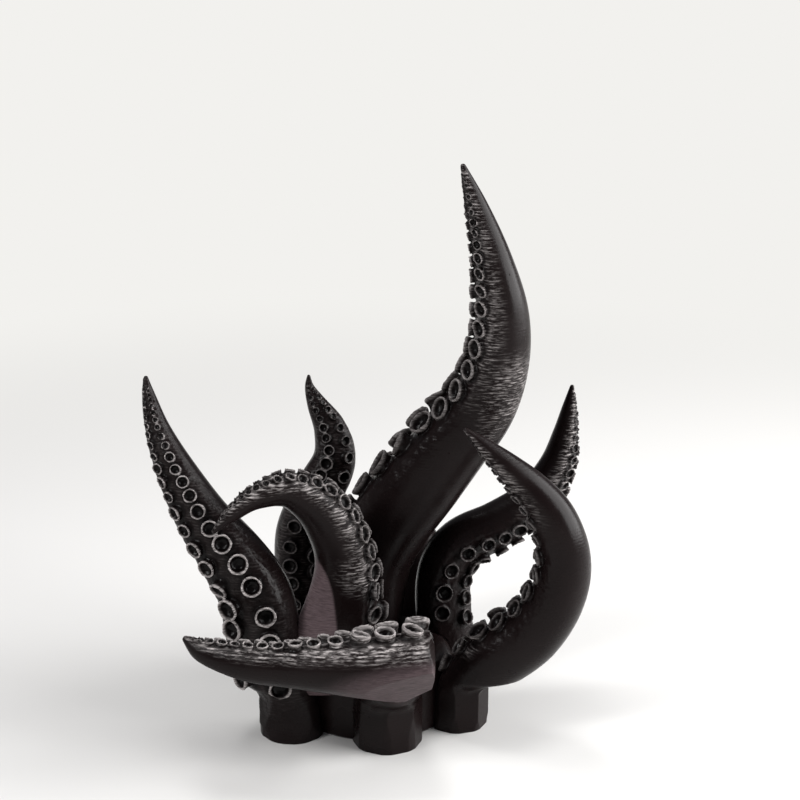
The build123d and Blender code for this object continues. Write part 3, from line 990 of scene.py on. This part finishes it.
@dataclass(frozen=True)
class BlackPrint:
    """Black PLA, printed in layers: satin and near black, with fine level lines, painted grey highlights on
    lips, glints and up-facing lines, partly painted pale sheen on propped flats and painted shade in cups.

    A run holds a pattern's low and high value and what they turn into.
    """

    name: str = "black_pla_printed"
    colour: str = "#100a0a"
    dusty: str = "#191212"
    # Grey of the painted highlights on lips, glints and up-facing lines.
    highlight_grey: str = "#cbc4c2"
    # Pale mauve of propped flats and skirts: partly their matt finish, partly painted sheen.
    dry_and_sheen: str = "#695a5d"
    # Black of the painted shade in the cups and in the creases about the stalks.
    deep: str = "#090606"
    ior: float = 1.46
    specular: float = 0.125
    roughness_run: tuple[float, ...] = (0.3, 0.7, 0.21, 0.37)
    scuff_roughness: float = 0.08
    dry_roughness: float = 0.2
    layer_mm: float = 1.1
    layer_depth_mm: float = 0.010
    patch_mm: float = 14.0
    streak_mm: tuple[float, float] = (3.2, 0.45)
    streak_depth_run: tuple[float, ...] = (0.40, 0.64, 0.018, 0.12)
    scar_depth_mm: float = 0.3
    grain_mm: float = 0.7
    grain_depth_mm: float = 0.03
    pale_sheen_run: tuple[float, ...] = (0.25, 0.65, 0.35, 1.0)
    contour_run: tuple[float, ...] = (0.55, 0.95, 0.0, 0.3)
    speck_run: tuple[float, ...] = (0.60, 0.78, 0.0, 1.0)
    speck_patch_share: float = 0.25
    ruled_run: tuple[float, ...] = (0.3, 0.8, 0.35, 1.0)
    rim_patchiness_run: tuple[float, ...] = (0.34, 0.66, 0.1, 1.0)

    def material(self) -> bpy.types.Material:
        """Build the node material.

        Returns:
            The material, whose patterns follow Object coordinates and the arm's attributes.
        """
        material = blank_material(self.name)
        tree = material.node_tree
        patterns = self._patterns(tree)
        shader = add_node(
            tree, "ShaderNodeBsdfPrincipled",
            {"Base Color": self._colour(tree, patterns), "Roughness": self._gloss(tree, patterns),
             "Normal": self._relief(tree, patterns), "IOR": self.ior, "Specular IOR Level": self.specular},
        )
        add_node(tree, "ShaderNodeOutputMaterial", {"Surface": shader.outputs["BSDF"]})
        return material

    def _patterns(self, tree: bpy.types.NodeTree) -> PrintPatterns:
        """Draw soft patches, level streaks and the lines of the layers, and read the arm's attributes.

        Args:
            tree: The material's node tree.

        Returns:
            The sockets of the patterns.
        """
        place = add_node(tree, "ShaderNodeTexCoord").outputs["Object"]
        patches = add_node(
            tree, "ShaderNodeTexNoise", {"Vector": place, "Scale": 1 / (self.patch_mm * MM), "Detail": 3.0},
        ).outputs["Fac"]
        wide, high = (1 / (size * MM) for size in self.streak_mm)
        drawn = add_node(
            tree, "ShaderNodeVectorMath", (place, (wide, wide, high)), operation="MULTIPLY",
        ).outputs["Vector"]
        streaks = add_node(
            tree, "ShaderNodeTexNoise", {"Vector": drawn, "Scale": 1.0, "Detail": 4.0, "Roughness": 0.65},
        ).outputs["Fac"]
        # Real layers are about 0.2 mm, too fine to show, so the lines are drawn a few times as coarse.
        # At a scale of 1 the wave node's bands are tau / 20 apart.
        layers = add_node(
            tree, "ShaderNodeTexWave",
            {"Vector": place, "Scale": math.tau / 20 / (self.layer_mm * MM), "Distortion": 1.5, "Detail": 3.0,
             "Detail Scale": 0.4},
            wave_type="BANDS", bands_direction="Z", wave_profile="SIN",
        ).outputs["Fac"]
        skins = [add_node(tree, "ShaderNodeAttribute", attribute_name=name).outputs["Fac"] for name in SKINS]
        return PrintPatterns(place, patches, streaks, layers, **dict(zip(SKINS, skins)))

    def _colour(self, tree: bpy.types.NodeTree, patterns: PrintPatterns) -> bpy.types.NodeSocket:
        """Near black with faint dust, painted grey highlight on lips, glints and up-facing lines, pale mauve
        on propped flats that is partly painted sheen, and painted black shade in the cups and creases.

        Args:
            tree: The material's node tree.
            patterns: The patterns to follow.

        Returns:
            The colour socket.
        """
        streaks = patterns.streaks
        layers = patterns.layers
        # Streaked pale mauve on propped flats and skirts: partly matt finish, partly painted sheen.
        drawn = add_node(tree, "ShaderNodeMapRange", (streaks, *self.pale_sheen_run)).outputs["Result"]
        pale_sheen = add_node(tree, "ShaderNodeMath", (patterns.dry_and_sheen, drawn), operation="MULTIPLY").outputs[0]
        # Light lines along the layers on faces that point up: painted highlight.
        stepped = add_node(tree, "ShaderNodeMapRange", (layers, *self.contour_run)).outputs["Result"]
        contour = add_node(tree, "ShaderNodeMath", (patterns.level, stepped), operation="MULTIPLY").outputs[0]
        lined = add_node(tree, "ShaderNodeMath", (contour, streaks), operation="MULTIPLY").outputs[0]
        # Bright specks in short lines along the layers on the scuffed side: painted glints.
        uneven = add_node(
            tree, "ShaderNodeMath", (patterns.patches, self.speck_patch_share, streaks),
            operation="MULTIPLY_ADD",
        ).outputs[0]
        speck = add_node(tree, "ShaderNodeMapRange", (uneven, *self.speck_run)).outputs["Result"]
        ruled = add_node(tree, "ShaderNodeMapRange", (layers, *self.ruled_run)).outputs["Result"]
        glints = add_node(tree, "ShaderNodeMath", (speck, ruled), operation="MULTIPLY").outputs[0]
        painted_glints = add_node(tree, "ShaderNodeMath", (patterns.scuff_and_glint, glints), operation="MULTIPLY").outputs[0]
        # Lighter sucker lips broken up by streaks: painted highlight.
        rim_patchiness = add_node(tree, "ShaderNodeMapRange", (streaks, *self.rim_patchiness_run)).outputs["Result"]
        highlight = add_node(tree, "ShaderNodeMath", (patterns.rim, rim_patchiness), operation="MULTIPLY").outputs[0]
        for other in (painted_glints, lined):
            highlight = add_node(tree, "ShaderNodeMath", (highlight, other), operation="MAXIMUM").outputs[0]
        colour = linear(self.colour)
        # Coats: faint dust in patches, pale mauve that is partly painted sheen, painted grey highlights,
        # painted black shade in cups.
        coats = (
            (patterns.patches, self.dusty), (pale_sheen, self.dry_and_sheen), (highlight, self.highlight_grey), (patterns.cup, self.deep),
        )
        for share, coat in coats:
            colour = add_node(
                tree, "ShaderNodeMix", {"Factor": share, 6: colour, 7: linear(coat)}, data_type="RGBA",
            ).outputs[2]
        return colour

    def _gloss(self, tree: bpy.types.NodeTree, patterns: PrintPatterns) -> bpy.types.NodeSocket:
        """Satin all over, duller in patches, on the scuffed sucker side and on propped flats and skirts.

        Args:
            tree: The material's node tree.
            patterns: The patterns to follow.

        Returns:
            The roughness socket.
        """
        rough = add_node(
            tree, "ShaderNodeMapRange", (patterns.patches, *self.roughness_run),
        ).outputs["Result"]
        for share, more in ((patterns.scuff_and_glint, self.scuff_roughness), (patterns.dry_and_sheen, self.dry_roughness)):
            rough = add_node(
                tree, "ShaderNodeMath", (share, more, rough), operation="MULTIPLY_ADD",
            ).outputs[0]
        return rough

    def _relief(self, tree: bpy.types.NodeTree, patterns: PrintPatterns) -> bpy.types.NodeSocket:
        """Faint level layer lines, streaks in patches, a broken sucker side and a fine grain.

        Args:
            tree: The material's node tree.
            patterns: The patterns to follow.

        Returns:
            The normal socket.
        """
        back = add_node(
            tree, "ShaderNodeMapRange", (patterns.patches, *self.streak_depth_run),
        ).outputs["Result"]
        depth = add_node(
            tree, "ShaderNodeMath", (patterns.scuff_and_glint, self.scar_depth_mm, back), operation="MULTIPLY_ADD",
        ).outputs[0]
        grain = add_node(
            tree, "ShaderNodeTexNoise",
            {"Vector": patterns.place, "Scale": 1 / (self.grain_mm * MM), "Detail": 2.0},
        ).outputs["Fac"]
        height = add_node(
            tree, "ShaderNodeMath", (patterns.layers, self.layer_depth_mm), operation="MULTIPLY",
        ).outputs[0]
        for pattern, deep in ((patterns.streaks, depth), (grain, self.grain_depth_mm)):
            height = add_node(
                tree, "ShaderNodeMath", (pattern, deep, height), operation="MULTIPLY_ADD",
            ).outputs[0]
        return add_node(
            tree, "ShaderNodeBump", {"Height": height, "Distance": MM, "Strength": 1.0},
        ).outputs["Normal"]


@dataclass(frozen=True)
class PaleBoard:
    """Painted board: matt and off-white, for the floor, which runs out into an even pale ground."""

    name: str = "painted_board"
    colour: str = "#dad9d7"
    ground: str = "#f2f1ee"
    roughness: float = 0.6
    specular: float = 0.2
    near_mm: float = 150.0
    far_mm: float = 600.0

    def material(self) -> bpy.types.Material:
        """Build the floor's material.

        Returns:
            The material: lit board near the object, and an even ground for the camera further off.
        """
        material = blank_material(self.name)
        tree = material.node_tree
        board = add_node(
            tree, "ShaderNodeBsdfPrincipled",
            {"Base Color": linear(self.colour), "Roughness": self.roughness,
             "Specular IOR Level": self.specular},
        ).outputs["BSDF"]
        ground = add_node(tree, "ShaderNodeEmission", {"Color": linear(self.ground)}).outputs["Emission"]
        place = add_node(tree, "ShaderNodeTexCoord").outputs["Object"]
        away = add_node(tree, "ShaderNodeVectorMath", (place,), operation="LENGTH").outputs["Value"]
        outer = add_node(
            tree, "ShaderNodeMapRange",
            {"Value": away, "From Min": self.near_mm * MM, "From Max": self.far_mm * MM},
            interpolation_type="SMOOTHSTEP",
        ).outputs["Result"]
        ray = add_node(tree, "ShaderNodeLightPath")
        seen = ray.outputs["Is Camera Ray"]
        for kind in ("Is Glossy Ray", "Is Transmission Ray"):
            seen = add_node(tree, "ShaderNodeMath", (seen, ray.outputs[kind]), operation="MAXIMUM").outputs[0]
        share = add_node(tree, "ShaderNodeMath", (outer, seen), operation="MULTIPLY").outputs[0]
        surface = add_node(tree, "ShaderNodeMixShader", (share, board, ground)).outputs["Shader"]
        add_node(tree, "ShaderNodeOutputMaterial", {"Surface": surface})
        return material


@dataclass(frozen=True)
class Lamp:
    """A soft rectangular lamp, in millimetres."""

    name: str
    place: tuple[float, float, float]
    aim: tuple[float, float, float]
    size: tuple[float, float]
    watts: float
    colour: str = "#ffffff"

    def build(self) -> None:
        """Hang the lamp and turn it to its aim."""
        light = bpy.data.lights.new(self.name, "AREA")
        light.shape = "RECTANGLE"
        light.size = self.size[0] * MM
        light.size_y = self.size[1] * MM
        light.energy = self.watts
        light.color = linear(self.colour)[:3]
        holder = bpy.data.objects.new(self.name, light)
        holder.location = Vector(self.place) * MM
        holder.rotation_euler = (Vector(self.aim) - Vector(self.place)).to_track_quat("-Z", "Y").to_euler()
        bpy.context.scene.collection.objects.link(holder)


@dataclass(frozen=True)
class Studio:
    """The floor, the lamps, the dim room and the camera."""

    elevation: float = 18.0
    distance: float = 600.0
    target: tuple[float, float, float] = (9.5, 0.0, 117.0)
    focal_px: float = 1735.0
    frame_px: float = 800.0
    sensor: float = 36.0
    floor_size: float = 14000.0
    room_colour: str = "#d3d2d8"
    room_strength: float = 0.25
    lamps: tuple[Lamp, ...] = (
        Lamp("key_lamp", place=(-600, -420, 620), aim=(0, 0, 90), size=(200, 360), watts=5.0),
        Lamp("right_lamp", place=(720, -40, 360), aim=(0, 0, 110), size=(800, 700), watts=15.0),
        Lamp("top_lamp", place=(-100, 200, 900), aim=(0, 0, 80), size=(220, 360), watts=3.0),
    )

    def build(self) -> None:
        """Set up everything that is not part of the object."""
        self._lay_floor()
        for lamp in self.lamps:
            lamp.build()
        self._light_room()
        self._place_camera()

    def _lay_floor(self) -> None:
        """Lay the pale floor that the figurine stands on."""
        bpy.ops.object.select_all(action="DESELECT")
        bpy.ops.mesh.primitive_plane_add(size=self.floor_size * MM, location=(0, 0, 0))
        floor = bpy.context.object
        floor.name = "floor"
        floor.data.materials.append(PaleBoard().material())

    def _light_room(self) -> None:
        """Fill the room with a dim, even light."""
        world = bpy.data.worlds.new("room")
        world.use_nodes = True
        background = world.node_tree.nodes["Background"]
        background.inputs["Color"].default_value = linear(self.room_colour)
        background.inputs["Strength"].default_value = self.room_strength
        bpy.context.scene.world = world

    def _place_camera(self) -> None:
        """Stand the camera at the viewing angle of the photograph."""
        tilt = math.radians(self.elevation)
        back = Vector((0, -math.cos(tilt), math.sin(tilt)))
        camera = bpy.data.cameras.new("camera")
        camera.sensor_fit = "HORIZONTAL"
        camera.sensor_width = self.sensor
        camera.lens = self.focal_px / self.frame_px * self.sensor
        camera.clip_start = MM
        holder = bpy.data.objects.new("camera", camera)
        holder.location = (Vector(self.target) + back * self.distance) * MM
        holder.rotation_euler = (math.pi / 2 - tilt, 0, 0)
        bpy.context.scene.collection.objects.link(holder)
        bpy.context.scene.camera = holder
        bpy.context.scene.view_settings.view_transform = "Standard"


BELOW_SUCKERS = (1.15, 1.35)
ARM_PLANS = (
    ArmPlan(
        "tall_arm", Stand.HUB, bearing=103.5, sucker_bearing=125.0, twist=100.0, girth=16.2,
        extent=(47.0, 21.0, 182.5),
        spine_shares=(
            (0.00, 0.00, 0.00), (0.00, 0.03, 0.09), (0.04, 0.02, 0.185), (0.19, -0.08, 0.275),
            (0.41, -0.21, 0.36), (0.64, -0.335, 0.445), (0.85, -0.485, 0.52), (0.975, -0.67, 0.61),
            (1.00, -0.80, 0.71), (0.93, -0.91, 0.815), (0.82, -0.97, 0.915), (0.71, -1.00, 1.00),
        ),
        girth_shares=(0.80, 0.90, 0.97, 1.00, 0.99, 0.92, 0.83, 0.72, 0.62, 0.45, 0.26, 0.05),
        seed=1, scuff_and_glint=0.60, scuff_start_share=0.62, rim_highlight=(0.12, 0.80),
        scuff_and_glint_spots=(ScuffAndGlint((50, -9, 121), reach=19, strength=0.6), ScuffAndGlint((44, -14, 106), reach=13, strength=0.6)),
    ),
    ArmPlan(
        "left_arm", Stand.FLOOR, bearing=213.7, sucker_bearing=255.0, let_in=5.8, girth=13.2,
        extent=(48.5, 12.0, 128.0),
        spine_shares=(
            (0.00, 0.00, 0.00), (-0.02, 0.00, 0.06), (-0.14, -0.05, 0.17), (-0.20, -0.08, 0.30),
            (-0.25, -0.04, 0.41), (-0.41, 0.08, 0.515), (-0.61, 0.25, 0.62), (-0.80, 0.50, 0.75),
            (-0.92, 0.75, 0.855), (-0.98, 0.92, 0.945), (-1.00, 1.00, 1.00),
        ),
        girth_shares=(0.88, 0.88, 0.97, 1.00, 0.98, 0.88, 0.715, 0.52, 0.335, 0.18, 0.05),
        seed=2, scuff_and_glint=0.06, rim_highlight=(0.95, 0.80), foot_edge=287.0,
    ),
    ArmPlan(
        "arch_arm", Stand.HUB, bearing=234.7, sucker_bearing=330.0, twist=80.0, girth=11.0,
        extent=(44.5, 24.0, 76.0),
        spine_shares=(
            (0.00, 0.00, 0.00), (0.01, -0.03, 0.16), (0.02, -0.08, 0.36), (0.01, -0.14, 0.55),
            (-0.045, -0.22, 0.70), (-0.19, -0.34, 0.88), (-0.43, -0.54, 0.995), (-0.675, -0.75, 0.985),
            (-0.85, -0.90, 0.925), (-1.00, -1.00, 0.845),
        ),
        girth_shares=(1.13, 1.10, 1.04, 0.98, 0.94, 0.83, 0.60, 0.40, 0.26, 0.07),
        seed=3, scuff_and_glint=0.80, scuff_start_share=0.42, rim_highlight=(0.28, 0.70), contour_highlight=0.8,
        scuff_and_glint_spots=(ScuffAndGlint((-3.6, -22, 63), reach=12, strength=0.8),),
        flare=Flare((-1.0, -0.45, 0.0), reach=13.0, top=72.0, bottom=24.0),
    ),
    ArmPlan(
        "front_arm", Stand.FLOOR, bearing=281.0, sucker_bearing=100.0, let_in=14.9, girth=14.3,
        extent=(67.0, 26.5, 49.0), sucker_rise=70.0, sucker_start_share=0.08,
        spine_shares=(
            (0.235, -0.735, 0.785), (0.095, -0.78, 0.80), (-0.105, -0.92, 0.83), (-0.315, -1.00, 0.85),
            (-0.525, -1.00, 0.855), (-0.72, -0.93, 0.86), (-0.90, -0.85, 0.915), (-1.01, -0.77, 1.00),
        ),
        girth_shares=(0.89, 0.92, 0.79, 0.64, 0.51, 0.465, 0.315, 0.06),
        root_spine_shares=(
            (0.00, 0.00, 0.00), (0.00, -0.01, 0.20), (0.01, -0.10, 0.38), (0.03, -0.42, 0.58),
            (0.04, -0.80, 0.74),
        ),
        root_girth_shares=(0.87, 0.87, 0.83, 0.68, 0.58),
        seed=4, sucker_lift=1.3, scuff_and_glint=0.95, rim_highlight=(0.85, 0.90), contour_highlight=0.8, foot_edge=270.0,
        facets=(
            Facet((5.0, -50.0, 28.3), (-0.22, 0.25, -0.95), reach_shares=BELOW_SUCKERS),
            Facet((22.6, -51.3, 33.9), (0.236, -0.787, -0.57), reach_shares=BELOW_SUCKERS, dry_and_sheen=0.55),
            Facet((20.5, -53.0, 46.0), (0.84, -0.30, 0.45), reach_shares=BELOW_SUCKERS),
            Facet((16.5, -50.0, 30.0), (0.48, -0.20, -0.85), reach_shares=BELOW_SUCKERS),
        ),
    ),
    ArmPlan(
        "right_front_arm", Stand.FLOOR, bearing=338.2, sucker_bearing=140.0, twist=60.0, let_in=7.0,
        girth=12.4, extent=(35.0, 14.0, 115.5),
        spine_shares=(
            (0.00, 0.00, 0.00), (0.02, -0.02, 0.055), (0.105, -0.14, 0.14), (0.34, -0.36, 0.24),
            (0.68, -0.64, 0.335), (0.92, -0.86, 0.46), (1.00, -0.93, 0.585), (0.89, -1.00, 0.715),
            (0.70, -1.00, 0.80), (0.44, -1.00, 0.88), (0.215, -1.00, 0.945), (0.02, -1.00, 1.00),
        ),
        girth_shares=(0.87, 0.88, 0.96, 1.02, 0.98, 0.885, 0.795, 0.69, 0.565, 0.415, 0.24, 0.06),
        seed=5, scuff_and_glint=0.60, scuff_start_share=0.72, rim_highlight=(0.15, 0.40), foot_edge=310.0,
        scuff_and_glint_spots=(ScuffAndGlint((31.4, -24, 37), reach=8, strength=0.6),),
    ),
    ArmPlan(
        "right_rear_arm", Stand.FLOOR, bearing=23.8, sucker_bearing=280.0, twist=80.0, let_in=6.3, girth=11.6,
        extent=(42.0, 11.0, 115.0),
        spine_shares=(
            (0.00, 0.00, 0.00), (-0.02, 0.02, 0.09), (-0.09, 0.18, 0.25), (-0.085, 0.32, 0.395),
            (0.06, 0.40, 0.485), (0.38, 0.50, 0.545), (0.695, 0.65, 0.625), (0.885, 0.82, 0.73),
            (0.955, 0.92, 0.835), (0.985, 1.00, 0.925), (1.00, 1.00, 1.00),
        ),
        girth_shares=(0.86, 0.88, 0.90, 0.87, 0.86, 0.80, 0.72, 0.61, 0.435, 0.25, 0.06),
        seed=6, scuff_and_glint=1.00, rim_highlight=(0.15, 0.50), scuff_start_share=0.62, foot_edge=20.0,
    ),
    ArmPlan(
        "back_arm", Stand.FLOOR, bearing=66.0, sucker_bearing=60.0, let_in=5.6, girth=11.4,
        extent=(15.0, 26.5, 71.0),
        spine_shares=(
            (0.00, 0.00, 0.00), (0.05, 0.04, 0.13), (0.26, 0.22, 0.30), (0.36, 0.51, 0.465),
            (0.08, 0.74, 0.61), (-0.35, 0.88, 0.72), (-0.70, 0.95, 0.82), (-0.90, 0.98, 0.915),
            (-1.00, 1.00, 1.00),
        ),
        girth_shares=(0.87, 0.88, 0.97, 1.00, 0.87, 0.70, 0.50, 0.28, 0.06),
        seed=7, scuff_and_glint=0.10, rim_highlight=(0.50, 0.50),
    ),
    ArmPlan(
        "back_left_arm", Stand.FLOOR, bearing=128.7, sucker_bearing=280.0, let_in=5.6, girth=9.7,
        extent=(13.0, 13.0, 114.5),
        spine_shares=(
            (0.00, 0.00, 0.00), (-0.03, 0.02, 0.08), (-0.42, 0.22, 0.24), (-0.58, 0.30, 0.395),
            (-0.50, 0.36, 0.50), (-0.06, 0.48, 0.613), (0.42, 0.64, 0.724), (0.31, 0.82, 0.82),
            (-0.05, 0.90, 0.90), (-0.27, 1.00, 0.956), (-0.29, 1.00, 1.00),
        ),
        girth_shares=(0.98, 0.98, 1.02, 1.00, 1.00, 0.955, 0.84, 0.645, 0.40, 0.19, 0.05),
        seed=8, scuff_and_glint=0.10, rim_highlight=(0.25, 0.50),
    ),
)


def main() -> None:
    """Build the figurine and its setting."""
    logging.basicConfig(level=logging.INFO, format="%(name)s: %(message)s")
    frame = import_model()
    hub = HubPlan()
    finish = BlackPrint().material()
    mould = SuckerMould()
    mould.build()
    for plan in ARM_PLANS:
        arm = Arm(plan, hub)
        piece = arm.build(mould)
        piece.data.materials.clear()
        piece.data.materials.append(finish)
        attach(piece, BODY)
        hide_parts(plan.name)
        LOG.info("%s: %d suckers, %d faces", piece.name, len(arm.suckers), len(piece.data.polygons))
    mould.discard()
    for name in ("root_hub", "keyed_pegs"):
        for slot in frame["nodes"][name].material_slots:
            slot.material = finish
        LOG.info("%s: solid kept", name)
    Studio().build()


if __name__ == "__main__":
    main()
